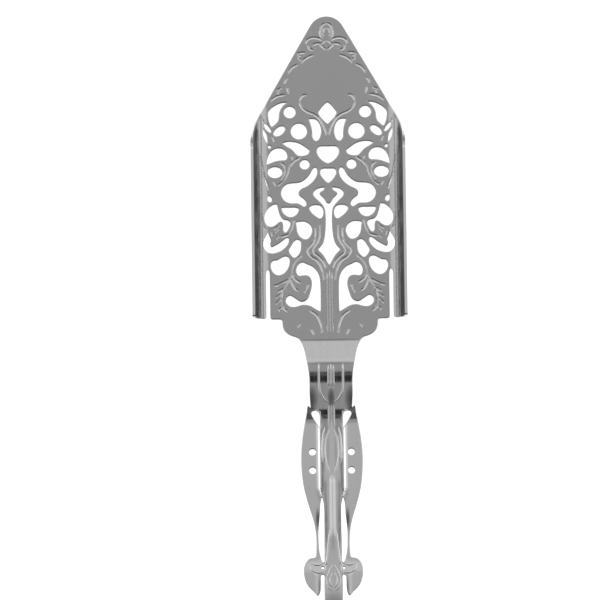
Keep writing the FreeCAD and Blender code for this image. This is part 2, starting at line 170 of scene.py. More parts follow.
# Openings of the right half of the blade; each is repeated on the left
paired_openings = [
    # outer crescent
    [corner(10.0, 57.65), (11.4, 57.6), (12.8, 57.05), (14.1, 56.2), (14.85, 55.1),
     (14.8, 53.8), (14.5, 52.5), corner(14.0, 51.4), (13.2, 52.1), (12.45, 52.9),
     (12.2, 53.9), (12.1, 55.0), (11.65, 56.1), (10.9, 57.0)],
    # kidney
    [(3.0, 53.3), corner(4.75, 53.45), (4.15, 51.9), (3.85, 50.3), (3.8, 48.8), (3.2, 47.85),
     (2.4, 48.0), (1.85, 49.1), (1.65, 50.7), (2.1, 52.3)],
    # slender leaf in the fold
    [corner(16.4, 51.1), (15.7, 50.2), (15.2, 49.1), corner(15.05, 47.2), (15.9, 48.4),
     (16.3, 49.7)],
    # upper petal
    [corner(4.5, 45.4), (5.0, 44.5), (6.3, 44.1), (7.6, 44.2), (8.4, 45.1), (9.2, 45.9),
     (10.3, 46.5), corner(11.5, 47.3), (10.2, 47.7), (8.6, 47.65), (7.2, 47.25), (6.1, 46.6)],
    # upper cheek
    [(10.15, 44.0), (10.4, 45.0), (11.2, 45.85), (12.4, 46.1), (13.5, 45.85), (14.3, 45.2),
     (15.0, 43.9), corner(15.5, 41.95), (14.5, 42.3), (13.2, 42.8), (11.8, 43.0), (10.5, 43.1)],
    # long sinuous opening
    [(2.7, 40.5), (2.8, 39.4), (3.3, 38.3), (4.3, 37.15), (5.6, 36.25), (6.8, 35.7),
     (7.5, 34.9), (7.3, 34.0), (6.3, 33.25), (5.65, 32.5), (5.5, 31.7), (6.1, 31.1),
     (6.8, 31.6), (7.8, 32.1), (9.4, 32.1), (10.8, 32.6), (11.6, 33.7), (11.85, 34.9),
     (11.3, 36.2), (10.2, 37.0), (8.6, 37.2), (7.0, 37.4), (5.7, 38.2), (4.6, 39.4),
     (3.9, 40.7), (3.2, 41.2)],
    # opening beside the vase
    [(1.9, 31.3), (2.9, 31.6), (4.1, 31.5), (4.9, 30.95), (4.6, 30.1), (3.9, 29.3),
     (3.0, 28.6), (2.1, 28.1), (1.5, 28.8), (1.35, 30.2)],
    # half moon
    [corner(7.35, 30.7), (8.4, 31.05), (9.6, 31.0), (10.8, 31.05), corner(11.9, 31.0),
     (11.4, 29.7), (10.5, 28.9), (9.5, 28.6), (8.4, 28.95), (7.7, 29.7)],
    # lower cheek, with the tongue of metal that ends in the star
    [corner(12.9, 31.95), (14.1, 31.7), (15.1, 30.7), (16.0, 29.4), (16.2, 28.1), (15.7, 26.8),
     (14.6, 26.2), (13.4, 26.6), (12.4, 27.45), (11.6, 27.4), (11.4, 26.5), (11.4, 25.3),
     (10.9, 24.6), (10.3, 25.2), (9.8, 26.2), (9.55, 27.2), (10.2, 27.8), (11.3, 28.0),
     (12.1, 28.9), (12.55, 30.2)],
    # slit between the cheek openings
    [(14.4, 33.8), (15.0, 34.1), (15.4, 33.4), (15.1, 32.5), (14.4, 32.35), (14.1, 33.0)],
    # leaf at the stem
    [(5.9, 27.4), (7.0, 27.45), corner(8.3, 27.3), (8.05, 26.2), (7.9, 24.9), (7.3, 23.7),
     (6.4, 23.05), (5.4, 23.0), (4.6, 23.9), (4.2, 25.2), (4.6, 26.5)],
    # kite
    [corner(7.0, 22.45), (8.0, 22.95), (8.9, 22.3), (9.55, 21.2), (10.1, 20.3), (9.7, 19.2),
     corner(8.8, 18.2), (7.9, 18.8), (7.25, 19.8), (7.05, 21.1)],
    # hook below the star
    [(10.0, 22.9), (10.2, 21.9), (10.9, 21.0), (12.0, 20.1), (13.4, 19.6), (14.8, 19.5),
     (15.9, 20.1), (16.6, 21.2), (16.5, 22.6), (15.9, 23.7), corner(15.25, 24.95),
     (14.95, 23.9), (14.5, 22.9), (14.75, 21.9), corner(14.45, 20.95), (13.4, 21.5),
     (12.2, 22.2), (11.1, 23.05), (10.3, 23.5)],
    # oval by the side leaf
    [(10.1, 18.4), (11.2, 18.7), (12.2, 18.2), (13.1, 17.7), (14.1, 17.65), (14.65, 16.6),
     (14.35, 15.1), (13.4, 14.1), (12.2, 14.0), (11.0, 14.75), (10.2, 16.0), (9.9, 17.4)],
    # tall hook above the heel
    [corner(2.35, 4.6), (2.3, 7.5), (2.3, 10.4), (2.45, 13.1), (3.1, 14.8), (4.2, 16.0),
     (5.5, 16.6), (6.8, 17.15), (7.9, 16.4), (8.3, 15.1), (7.8, 13.75), (6.6, 13.85),
     (5.3, 13.75), (4.5, 12.7), (4.45, 11.2), (4.9, 9.4), (5.6, 7.8), (7.1, 7.15),
     (8.5, 7.95), (9.9, 8.8), (10.9, 8.1), (10.9, 6.9), (9.9, 6.0), (8.4, 5.95),
     (6.8, 6.4), (5.1, 6.2), (3.7, 5.4)],
]

# Round and oval openings of the right half: x, y, half length, half width, turn in degrees
paired_ovals = [
    (9.45, 55.15, 1.5, 1.5, 0),
    (7.2, 50.3, 2.03, 2.03, 0),
    (5.85, 41.85, 1.25, 1.25, 0),
    (14.6, 46.4, 0.5, 0.5, 0),
    (12.1, 50.4, 1.75, 1.0, -38),
    (15.05, 51.15, 1.45, 0.5, 52),
    (13.3, 39.95, 1.87, 1.42, 0),
    (4.85, -30.9, 0.9, 0.9, 0),
    (4.85, -35.6, 0.9, 0.9, 0),
]

# Openings of the right half of the handle
handle_openings = [
    # teardrop at the root of the rib
    [(5.05, -20.9), (4.3, -20.4), (3.4, -20.6), (2.95, -21.5), corner(2.9, -24.9),
     (3.7, -23.6), (4.5, -22.2)],
    # long slot between the stem and the thin outer rod
    [corner(2.7, -42.2), (3.05, -44.0), (3.2, -46.4), (3.4, -48.6), (3.6, -50.8),
     (3.6, -53.5), (3.45, -56.0), corner(2.9, -58.7), corner(2.2, -59.0), (2.15, -54.0),
     (2.1, -50.0), (2.1, -46.0), (2.2, -44.0), (2.45, -42.8)],
    # small eye between the two links of the lobe
    [(3.17, -60.4), (2.9, -60.75), (2.45, -60.8), (2.2, -60.4), (2.45, -60.0), (2.9, -60.05)],
]

# Right half of the outer edge, from the end of the handle to the top of the nose
outer_edge = [
    (0, -handle_end), (1.8, -83.6), (3.1, -82.0), (3.5, -79.5), (3.1, -76.5), (2.5, -72.5),
    (2.3, -69.0), (2.3, -65.0), corner(2.2, -62.0), corner(3.15, -62.0), (3.2, -64.9),
    (3.35, -66.6), corner(3.95, -67.7), (4.7, -66.6), (5.9, -65.4), (6.9, -63.9), (7.4, -61.6),
    (7.3, -60.0), (6.75, -58.7), corner(5.9, -57.8), corner(4.3, -57.7), (4.15, -53.5),
    (4.4, -50.3), (5.0, -47.5), (6.1, -43.9), (7.1, -39.9), (7.6, -35.8), (7.7, -31.8),
    (7.4, -27.9), (6.95, -24.9), (6.55, -22.7), (6.15, -20.7), (6.05, -19.6), (5.85, -18.95),
    (5.55, -19.2), corner(5.15, -20.1), (5.3, -18.0), (5.4, -16.0), (5.4, -13.6),
    (5.5, -11.6), (5.75, -9.6), (6.1, -7.6), (6.65, -4.7), (7.1, -3.5), (7.65, -2.3), (8.3, -1.8),
    (9.3, -1.55), (10.3, -1.1), (11.1, -0.5), (11.65, 0.25), (11.9, 1.2),
    corner(11.95, fold_end),
    corner(14.9, fold_end), corner(14.9, 14.2), (15.0, 15.0), (15.4, 15.5), (15.87, 15.0),
    corner(16.03, 14.2), corner(16.03, fold_end), corner(blank_half, fold_end),
    corner(blank_half, apex_y - blank_half / math.tan(taper)),
]

# Lines pressed into the right half of the blade; each is repeated on the left
blade_lines = [
    # calyx under the plain field
    [(5.1, 59.4), (6.0, 59.4), (6.8, 58.4), (6.8, 57.2), (6.1, 56.0), (5.0, 55.2),
     (3.5, 54.6), (2.2, 53.6), (1.2, 52.0), (0.55, 50.5), (0.15, 49.0)],
    # cheek stem and its branch
    [(6.8, 43.8), (7.6, 43.3), (8.4, 42.8), (9.1, 42.1), (9.7, 41.1), (10.0, 40.1),
     (10.25, 39.2), (10.7, 38.3), (11.4, 37.5), (12.2, 36.9), (12.9, 36.5)],
    [(8.6, 43.0), (8.9, 43.5), (9.0, 44.1)],
    # ring round the eye
    [(12.05, 42.4), (11.1, 41.8), (10.8, 40.9), (10.9, 39.8), (11.4, 38.7), (12.1, 38.0)],
    [(12.9, 36.3), (13.8, 37.6)],
    # outer vein in the fold
    [(17.1, 44.5), (16.9, 42.6), (16.5, 40.5), (16.0, 38.6), (15.4, 37.0), (14.8, 35.4)],
    # stem beside the crescent
    [(15.8, 55.0), (16.3, 53.6), (16.2, 52.2)],
    [(14.0, 49.0), (13.6, 48.4), (13.3, 47.4)],
    # lower outer vein
    [(16.9, 30.0), (16.9, 28.0), (16.5, 26.4), (15.8, 25.3)],
    # stem to the star and its veins
    [(8.7, 27.9), (9.0, 26.6), (9.3, 25.4), (10.0, 24.3), (10.9, 23.9), (12.3, 23.6)],
    [(12.3, 26.5), (13.1, 25.9), (14.0, 25.4)],
    [(12.5, 25.6), (13.1, 25.1), (13.6, 24.5)],
    [(14.4, 25.0), (14.2, 24.3), (14.0, 23.6)],
    [(12.3, 23.9), (12.8, 23.5), (13.4, 23.0)],
    # vase, inner and outer line
    [(2.3, 26.7), (2.3, 25.4), (2.4, 23.6), (2.9, 22.2), (3.6, 21.25), (4.0, 20.3),
     (3.6, 19.3), (2.5, 18.4), (1.3, 16.9), (0.75, 15.3)],
    [(3.4, 26.0), (3.4, 24.6), (3.7, 22.6), (4.55, 21.4), (5.4, 20.3), (5.2, 19.4),
     (4.3, 18.3), (3.3, 17.7), (2.3, 16.4), (1.8, 15.1), (1.5, 13.75), (1.3, 12.3)],
    # stem of the side leaf
    [(6.8, 18.9), (7.6, 18.2), (8.4, 17.2), (9.0, 16.25), (9.3, 15.1), (9.4, 14.0),
     (10.0, 13.0), (10.5, 11.8), (11.2, 10.8), (11.8, 10.0), (11.85, 9.0), (12.0, 8.05),
     (11.9, 6.0), (12.6, 5.3), (13.0, 4.6)],
    # its branches
    [(10.0, 13.0), (10.9, 12.4), (12.2, 11.8), (13.0, 11.4), (14.0, 11.25)],
    [(11.2, 10.8), (12.3, 10.0), (13.2, 9.6)],
    [(11.8, 9.4), (12.8, 8.6), (13.7, 8.2)],
    [(12.0, 8.05), (12.5, 7.5), (13.7, 6.5)],
    [(11.9, 6.2), (11.3, 5.3), (10.4, 4.6)],
    [(9.3, 14.2), (8.9, 13.2), (8.1, 12.4), (7.05, 11.9)],
    [(9.8, 12.9), (9.3, 11.7), (8.7, 10.6), (7.6, 9.7)],
    [(5.3, 11.6), (5.8, 10.4), (6.6, 9.2)],
    # heel
    [(5.1, 4.9), (4.3, 4.4), (3.4, 3.75), (2.75, 2.6), (2.3, 1.4), (2.1, 0.0), (2.0, -1.2)],
    [(7.4, 1.6), (7.9, 1.0), (8.2, 0.4)],
    [(4.9, 0.3), (4.3, -0.6), (3.9, -1.4)],
    # bud at the tip
    [(0.0, 77.7), (0.9, 77.3), (1.45, 76.4), (1.6, 75.4), (1.3, 74.4), (0.7, 73.7)],
    [(0.15, 76.6), (0.7, 76.0), (0.95, 75.2), (0.75, 74.4), (0.4, 74.0)],
    [(0.0, 73.3), (0.8, 72.9), (1.5, 72.2), (0.9, 71.6), (0.0, 70.8)],
    # scroll beside it
    [(0.9, 73.2), (2.0, 73.8), (3.1, 74.0), (4.2, 73.8), (5.0, 73.2), (5.3, 72.2)],
    [(1.3, 72.4), (2.1, 72.5), (2.9, 72.4), (3.7, 71.9)],
    [(4.6, 72.3), (4.5, 71.6), (3.9, 71.0), (3.2, 70.8)],
    [(2.8, 71.6), (2.7, 70.9)],
    # border of the plain field
    [(3.1, 69.6), (4.2, 69.3), (5.2, 68.8), (6.0, 68.2), (6.6, 67.4)],
    [(7.1, 67.3), (8.0, 66.9), (8.8, 66.4), (9.4, 65.6), (9.9, 64.9)],
    [(9.7, 63.8), (10.2, 63.5), (10.6, 62.8), (10.7, 62.0)],
    [(9.9, 61.6), (9.8, 60.6), (9.4, 59.7)],
    [(14.4, 57.9), (13.4, 58.7), (12.2, 59.3), (10.4, 59.6)],
    [(5.2, 70.2), (6.3, 70.2), (7.1, 70.0), (7.6, 69.4)],
    [(11.2, 61.4), (11.9, 61.1), (12.6, 60.7), (12.8, 60.1)],
    # small scroll eyes
    [(6.2, 69.3), (6.8, 69.5), (7.1, 69.0), (6.8, 68.5), (6.2, 68.6)],
    [(11.5, 60.5), (12.1, 60.6), (12.3, 60.1), (11.8, 59.9)],
]

# Raised lines of the right half of the handle
handle_lines = [
    # long lines of the neck, meeting at the centre
    [(3.0, -9.0), (3.0, -11.5), (3.0, -13.8), (2.9, -15.1), (2.6, -16.4), (1.85, -17.65),
     (1.2, -18.2), (0.55, -18.45)],
    # lens on the rib
    [(0.5, -25.2), (1.0, -26.4), (1.45, -28.0), (1.65, -30.0), (1.7, -32.0), (1.4, -33.8),
     (1.0, -35.2), (0.5, -36.6)],
    # second line beside it
    [(1.7, -24.6), (2.1, -26.6), (2.3, -29.0), (2.35, -31.6), (2.2, -34.0)],
    # fork towards the bud
    [(0.75, -50.8), (1.0, -53.0), (1.3, -55.5), (1.45, -57.5), (1.7, -59.0), (2.2, -60.0)],
    # bud: nested teardrops
    [(0.1, -59.4), (0.6, -60.5), (1.2, -61.8), (1.65, -63.2), (1.65, -64.6), (1.0, -65.8),
     (0.3, -66.3)],
    [(0.1, -61.2), (0.5, -62.2), (0.85, -63.4), (0.8, -64.6), (0.2, -65.4)],
    # scrolls of the lobe
    [(2.6, -59.3), (3.6, -59.6), (4.6, -59.5), (5.3, -58.9), (5.6, -58.6)],
    [(2.7, -61.4), (3.6, -61.7), (4.4, -61.4), (5.2, -60.9), (5.7, -60.0), (5.8, -59.2)],
]

# Straight ribs beside the centre line: x, y of each end, size
centre_ribs = [
    (0.0, 15.0, -0.6, rib_size),
    (0.62, 14.4, -0.6, rib_size),
    (0.0, -9.1, -15.2, rib_size),
    (0.62, -9.3, -15.2, rib_size),
    (0.0, -19.2, -25.4, rib_size),
    (0.6, -19.2, -24.6, rib_size),
]

# Finish of the steel
bright_tones = (0.62, 0.67)  # darkest and lightest tone of the polished metal
bright_rough = (0.08, 0.13)  # roughness on and between the lines of polishing
polish_scale = (2200.0, 90.0, 900.0)  # how fine those lines are in each direction
haze_scale = 55.0  # how fine the soft haze is
noise_range = (0.3, 0.7)  # where most of the noise lies
fold_shade_tone, fold_rough = 0.13, 0.34  # painted shade inside the folded sides, standing in for their dark reflections, with rougher metal there
cut_and_shade_tone, cut_rough = 0.09, 0.5  # rough cut edges darkened with painted shade on the walls of openings, and the patches of painted shade
cut_in_fold = 0.85  # share of that darkness lost at cut edges in the fold
cut_fades = (flat_half, 1.2)  # where it starts to get lost and over which width
shade_fade = 1.25  # how many reaches from its middle a patch of painted shade has faded

# Painted shade inside the folded sides, where the bent metal shows dark reflections
fold_shade_range = (16.0, 20.0)  # distances from the middle that its ramp covers
fold_shade_steps = [  # distance from the middle, strength
    (16.4, 0.0),
    (16.8, 0.6),
    (17.6, 0.6),
    (17.85, 1.0),
    (18.6, 1.0),
    (18.7, 0.0),
]

# Patches of painted shade on the neck and handle, where the curved metal shows dark reflections:
# x, y, reach across and along, strength
painted_shade_places = [
    (5.4, -18.0, 2.0, 3.6, 0.8),
    (0.0, -17.5, 0.8, 2.3, 0.7),
    (0.0, -8.9, 10.0, 0.45, 0.5),
    (0.0, -2.65, 12.0, 0.35, 0.5),
    (1.75, -49.0, 0.6, 11.0, 0.65),
    (3.4, -65.5, 0.5, 3.2, 0.6),
    (2.4, -31.0, 0.6, 9.5, 0.6),
    (1.6, -25.0, 0.9, 2.4, 0.45),
    (2.5, -38.5, 0.4, 4.0, 0.6),
    (1.0, -30.5, 0.5, 5.0, 0.2),
    (3.7, -48.0, 0.6, 3.0, 0.9),
    (0.0, -69.5, 3.0, 3.0, 0.45),
]

# Side line of the neck: distance south, height of the upper face, slope
top = sheet
neck_line = [
    (2.65, top, 0.0),
    (2.95, top + 0.08, rise_slope),
    (7.85, top + hump_height - 0.45, rise_slope),
    (8.95, top + hump_height - 0.08, 0.04),
    (10.2, top + hump_height - 0.08, -0.05),
    (14.0, top + hump_height - 0.58, -fall_slope),
    (20.0, top + dip_height + 0.23, -fall_slope),
    (22.7, top + dip_height - 0.15, -0.08),
    (24.0, top + dip_height - 0.13, 0.09),
    (40.0, top + dip_height + 1.31, handle_slope),
]

# Light and camera
floor_half = 3.0  # half of the table's side, metres
floor_tone, floor_rough = 0.5, 0.9
floor_glow = 0.93
camera_elevation = math.radians(81.4)
camera_roll = math.radians(0.74)
camera_distance = 3.0
sensor_width = 36.0
view_width = 0.14986  # width of the photograph at the spoon, metres
view_centre = (-0.00746, 0.00764, 0.0005)  # what lies in its middle, metres
sky_steps = [  # angle from the zenith in degrees, brightness
    (0, 0.41),
    (24, 0.41),
    (31, 0.66),
    (65, 0.70),
    (68, 0.10),
    (72, 0.08),
    (74, 1.5),
]
south_steps = [  # how far a direction points north, share of the light kept
    (-0.80, 0.2),
    (-0.50, 0.25),
    (-0.33, 0.75),
    (-0.29, 1.05),
    (-0.15, 1.0),
    (0.17, 1.0),
    (0.29, 1.45),
    (0.40, 1.45),
    (0.50, 1.1),
]
lens_shade_steps = [  # degrees away from the shade round the lens, light kept
    (0, 0.05),
    (6.4, 0.05),
    (7.2, 1.0),
]
shade_elevation = math.radians(81.8)
gap_steps = [  # degrees away from the middle of a gap in that shade
    (10.2, 0.0),
    (10.4, 0.8),
    (11.1, 0.8),
    (11.3, 0.0),
]
gap_elevation = math.radians(74.5)


def ease(t):
    """Share from 0 to 1 that starts and ends softly."""
    t = np.clip(t, 0.0, 1.0)
    return t * t * (3 - 2 * t)


def side_line(south):
    """Height of the rib's upper face at distances south of the heel."""
    last_s, last_z, slope = neck_line[-1]
    height = np.where(south > last_s, last_z + (south - last_s) * slope, top)
    for (s0, z0, m0), (s1, z1, m1) in zip(neck_line, neck_line[1:]):
        gap = s1 - s0
        t = (south - s0) / gap
        start = z0 * (1 + 2 * t) * (1 - t) ** 2 + m0 * gap * t * (1 - t) ** 2
        finish = z1 * t * t * (3 - 2 * t) + m1 * gap * t * t * (t - 1)
        height = np.where((t >= 0) & (t <= 1), start + finish, height)
    return height


def comes_in(at, zone):
    """Share from 0 to 1 over a zone, given by its start and length."""
    start, length = zone
    return ease((at - start) / length)


def falls(past, size):
    """Height lost on a straight slope that starts where past is zero."""
    width, fall = size
    return fall * np.clip(past / width, 0.0, 1.0)


def handle_height(x, y):
    """Upper face of the neck and handle: raised rib, its walls, lower leaves, stem facets."""
    south = -y
    side = np.abs(x)
    past = side - rib_half + stem_step * comes_in(south, stem_narrows)
    step_at = step_south + step_slant * np.clip(step_bend[0] - side, 0.0, step_bend[1])
    edge_side, edge_south, edge_slant = neck_edge
    beside_neck = side - edge_side - edge_slant * (edge_south - south)
    lowered = (np.maximum(ease((south - step_at) / step_length),
                          ease(beside_neck / neck_edge_width) * (south > neck_edge_start))
               * (1 - comes_in(south, leaves_end)))
    roll_south, roll_length = roll_starts
    rolled = (roll_fall * comes_in(side, roll_across)
              * np.clip((south - roll_south) / roll_length, 0.0, 1.0) ** 2)
    foot = 1 - (1 - np.clip((past - rib_wall[0]) / foot_width, 0.0, 1.0)) ** 2
    wall = (falls(past + rib_bevel[0], rib_bevel) + falls(past, rib_wall)
            + (leaf_drop - rib_bevel[1] - rib_wall[1]) * foot)
    on_stem = comes_in(south, facet_starts) * (1 - comes_in(south, facet_ends))
    facet = facet_fall * comes_in(side, facet_across) * (side < facet_limit)
    ridge = (falls(stem_ridge[0] - np.hypot(side, ridge_crest), stem_ridge)
             * comes_in(south, ridge_starts) * (1 - comes_in(south, ridge_ends)))
    return side_line(south) - wall * lowered - rolled * (1 - lowered) - facet * on_stem + ridge


def line_samples():
    """Close points along every pressed line, in the plan, and the share of its depth there."""
    points = []
    fullness = []
    for line in blade_lines:
        fine = along_metal(evenly(*passed_smoothly(line, False), groove_step))
        ends = np.arange(len(fine)) * groove_step
        drawn = ease(np.minimum(ends, ends[::-1]) / groove_taper)
        for side in (1, -1):
            points.append(fine * np.array([side, 1]))
            fullness.append(drawn)
    return np.vstack(points), np.concatenate(fullness)


@functools.cache
def line_finder():
    """Finds the nearest point of a pressed line; made once."""
    points, fullness = line_samples()
    finder = KDTree(len(points))
    for index, (x, y) in enumerate(points):
        finder.insert((x, y, 0.0), index)
    finder.balance()
    return finder, fullness


def groove(away):
    """Depth and slope of a pressed line at distances from its middle."""
    at, slopes = np.array(groove_slopes).T
    fine = np.linspace(0.0, at[-1], groove_parts)
    steep = np.interp(fine, at, slopes)
    below = np.cumsum(steep[::-1])[::-1] * fine[1]
    return np.interp(away, fine, below), np.interp(away, fine, steep)


def pressed_lines(plan):
    """Depth of the pressed lines at points of the plan, and the slope of their sides."""
    finder, fullness = line_finder()
    reach = groove_slopes[-1][0]
    depth = np.zeros(len(plan))
    slope = np.zeros((len(plan), 2))
    for i, (x, y) in enumerate(plan):
        near, index, away = finder.find((x, y, 0.0)) if y > -neck_start else (None, 0, reach)
        if away < reach:
            deep, steep = groove(away)
            depth[i] = deep * fullness[index]
            if away > 1e-6:
                steep *= fullness[index] / away
                slope[i] = (steep * (x - near.x), steep * (y - near.y))
    return depth, slope


def upper_face(plan, lined=True):
    """Place, normal and the two directions along the metal for points of the plan."""
    u, y = plan[:, 0], plan[:, 1]
    sign = np.where(u < 0, -1.0, 1.0)
    angle = np.clip((np.abs(u) - flat_half) / mid_radius, 0.0, math.pi / 2)
    past = np.maximum(0.0, np.abs(u) - flat_half - mid_radius * math.pi / 2)
    inner = np.minimum(np.abs(u), flat_half) + fold_radius * np.sin(angle)
    z = sheet + fold_radius * (1 - np.cos(angle)) + past
    x = sign * inner
    zero = np.zeros_like(u)
    normal = np.stack([-sign * np.sin(angle), zero, np.cos(angle)], axis=1)
    across = np.stack([np.cos(angle), zero, sign * np.sin(angle)], axis=1)
    along = np.stack([zero, zero + 1, zero], axis=1)
    place = np.stack([x, y, z], axis=1)
    if lined:
        depth, slope = pressed_lines(plan)
        place = place - normal * depth[:, None]
        normal = unit(normal - across * slope[:, :1] - along * slope[:, 1:])
    on_handle = y < neck_limit
    if on_handle.any():
        step = 0.02
        hx, hy = u[on_handle], y[on_handle]
        height = handle_height(hx, hy)
        slope_x = (handle_height(hx + step, hy) - handle_height(hx - step, hy)) / (2 * step)
        slope_y = (handle_height(hx, hy + step) - handle_height(hx, hy - step)) / (2 * step)
        one = np.ones_like(hx)
        place[on_handle] = np.stack([hx, hy, height], axis=1)
        normal[on_handle] = unit(np.stack([-slope_x, -slope_y, one], axis=1))
        across[on_handle] = unit(np.stack([one, 0 * one, slope_x], axis=1))
        along[on_handle] = unit(np.stack([0 * one, one, slope_y], axis=1))
    return place, normal, across, along


def through_sheet(plan, normal):
    """Direction of the sheet's thickness: square to the blade, upright on the handle."""
    upright = np.zeros_like(normal)
    upright[:, 2] = 1.0
    return np.where((plan[:, 1] < neck_limit)[:, None], upright, normal)


def unit(vectors):
    """The same directions with length one."""
    return vectors / np.maximum(1e-9, np.linalg.norm(vectors, axis=1))[:, None]


def passed_smoothly(points, closed):
    """Close points on a smooth line through given points, and the way gone at each."""
    pts = np.array([p[:2] for p in points], dtype=float)
    if closed:
        padded = np.vstack([pts[-1], pts, pts[0], pts[1]])
    else:
        padded = np.vstack([2 * pts[0] - pts[1], pts, 2 * pts[-1] - pts[-2]])
    fine = []
    for a, b, c, d in zip(padded, padded[1:], padded[2:], padded[3:]):
        for t in np.linspace(0, 1, curve_steps, endpoint=False):
            fine.append(0.5 * (2 * b + (c - a) * t + (2 * a - 5 * b + 4 * c - d) * t ** 2
                               + (3 * b - a - 3 * c + d) * t ** 3))
    fine.append(pts[0] if closed else pts[-1])
    fine = np.array(fine)
    gone = np.concatenate([[0], np.cumsum(np.linalg.norm(np.diff(fine, axis=0), axis=1))])
    return fine, gone


def evenly(fine, gone, step):
    """Even points on a line of close points."""
    count = max(2, int(round(gone[-1] / step)))
    at = np.linspace(0, gone[-1], count + 1)
    return np.stack([np.interp(at, gone, fine[:, 0]), np.interp(at, gone, fine[:, 1])], axis=1)


def closed_loop(points, step):
    """Even points of a closed outline, with its sharp corners eased a little."""
    corners = [i for i, p in enumerate(points) if len(p) == 3]
    if not corners:
        loop = evenly(*passed_smoothly(points, True), step)[:-1]
    else:
        turn = points[corners[0]:] + points[:corners[0] + 1]
        parts = []
        part = [turn[0]]
        for p in turn[1:]:
            part.append(p)
            if len(p) == 3:
                parts.append(evenly(*passed_smoothly(part, False), step)[:-1])
                part = [p]
        loop = np.vstack(parts)
    for _ in range(2):
        loop = 0.5 * loop + 0.25 * (np.roll(loop, 1, axis=0) + np.roll(loop, -1, axis=0))
    return loop


def mirrored(points):
    return [(-p[0],) + tuple(p[1:]) for p in reversed(points)]


def both_sides(half):
    """A whole outline from its right half, without its points on the centre line twice."""
    left = mirrored(half)
    if half[-1][0] == 0:
        left = left[1:]
    if half[0][0] == 0:
        left = left[:-1]
    return half + left


def along_metal(loop):
    """Moves plan points in the fold to their place along the metal."""
    side = np.abs(loop[:, 0])
    over = np.clip((side - flat_half) / mid_radius, 0.0, 1.0)
    moved = np.where(side > flat_half, flat_half + mid_radius * np.arcsin(over), side)
    blade = loop[:, 1] > 0
    return np.stack([np.sign(loop[:, 0]) * np.where(blade, moved, side), loop[:, 1]], axis=1)


def oval_points(x, y, long_half, short_half, turn):
    """Points that set out a round or oval opening."""
    turn = math.radians(turn)
    points = []
    for step in range(oval_steps):
        a = long_half * math.cos(step * math.pi / (oval_steps / 2))
        b = short_half * math.sin(step * math.pi / (oval_steps / 2))
        points.append((x + a * math.cos(turn) - b * math.sin(turn),
                       y + a * math.sin(turn) + b * math.cos(turn)))
    return points


def nose_points():
    """Rounded tip of the blade, from the right side to the left."""
    centre = apex_y - nose_radius / math.sin(taper)
    points = []
    for step in range(nose_steps + 1):
        angle = taper + (math.pi - 2 * taper) * step / nose_steps
        points.append((nose_radius * math.cos(angle), centre + nose_radius * math.sin(angle)))
    return points


def outer_loop():
    """The whole outer edge: right side, rounded tip and left side."""
    right = outer_edge[1:]
    left = mirrored(right)
    nose = nose_points()
    first, last = nose[0], nose[-1]
    round_tip = [corner(*first)] + nose[1:-1] + [corner(*last)]
    return closed_loop(right + round_tip + left + [outer_edge[0]], outer_step)


def area(loop):
    ahead = np.roll(loop, -1, axis=0)
    return 0.5 * np.sum(loop[:, 0] * ahead[:, 1] - loop[:, 1] * ahead[:, 0])


def turned(loop, positive):
    """The loop, run the way round that gives its area this sign."""
    return loop if (area(loop) > 0) == positive else loop[::-1]


def all_loops():
    """The outer edge and every opening, each with the metal on its left."""
    openings = [both_sides(half) for half in centre_openings]
    for points in paired_openings + handle_openings:
        openings += [points, mirrored(points)]
    for shape in paired_ovals:
        points = oval_points(*shape)
        openings += [points, mirrored(points)]
    loops = [turned(outer_loop(), True)]
    for points in openings:
        loops.append(turned(along_metal(closed_loop(points, edge_step)), False))
    return loops


def towards_opening(loop):
    """Direction out of the metal at each point of a loop, and its stretch at corners."""
    ahead = unit(np.roll(loop, -1, axis=0) - loop)
    behind = unit(loop - np.roll(loop, 1, axis=0))
    tangent = unit(ahead + behind)
    out = np.stack([tangent[:, 1], -tangent[:, 0]], axis=1)
    straight = np.clip(np.sum(tangent * ahead, axis=1), corner_cosine, 1.0)
    return out, 1.0 / straight


def painted_shade(plan):
    """How strongly painted shade darkens the metal, at points of the plan."""
    darkening = np.zeros(len(plan))
    for x, y, reach_x, reach_y, strength in painted_shade_places:
        away = np.hypot((np.abs(plan[:, 0]) - x) / reach_x, (plan[:, 1] - y) / reach_y)
        darkening = np.maximum(darkening, strength * ease(shade_fade - away))
    return darkening


def rim_rings():
    """Rings of a plain rim: in from the edge, down in the sheet, turn of the normal."""
    rings = []
    for index, turn in enumerate(rim_turns):
        upper = index < upper_rings
        size = top_round if upper else under_round
        across = size * (1 - math.sin(math.radians(turn)))
        down = size * (1 - math.cos(math.radians(turn))) if upper else (
            sheet - size * (1 + math.cos(math.radians(turn))))
        rings.append((across, down, turn))
    return rings


def inside(points, loops):
    """True for points of the plan that lie in the metal."""
    hit = np.zeros(len(points), dtype=bool)
    px, py = points[:, 0], points[:, 1]
    for loop in loops:
        ahead = np.roll(loop, -1, axis=0)
        for (x0, y0), (x1, y1) in zip(loop, ahead):
            spans = (y0 > py) != (y1 > py)
            if not spans.any():
                continue
            cross = x0 + (py[spans] - y0) * (x1 - x0) / (y1 - y0)
            hit[np.flatnonzero(spans)[px[spans] < cross]] ^= True
    return hit


def clear_of(points, rims, gap):
    """True for points farther than gap from every point of the rims."""
    batch = 500
    keep = np.ones(len(points), dtype=bool)
    for start in range(0, len(points), batch):
        part = points[start:start + batch]
        apart = np.linalg.norm(part[:, None, :] - rims[None, :, :], axis=2).min(axis=1)
        keep[start:start + batch] = apart > gap
    return keep


def inner_points(loops, lined):
    """Extra points where the metal is curved: folds, neck, handle and pressed lines."""
    grid = [(side * u, y) for side in (1, -1) for u in fold_columns for y in fold_rows]
    grid += [(side * x, y) for side in (1, -1) for x in handle_columns for y in handle_rows]
    rims = np.vstack(loops)
    points = np.array(grid)
    points = points[inside(points, loops)]
    points = points[clear_of(points, rims, grid_clear)]
    if not lined:
        return points
    rows = beside_lines()
    rows = rows[inside(rows, loops)]
    rows = rows[clear_of(rows, rims, top_round + row_clear)]
    return np.vstack([points, rows])


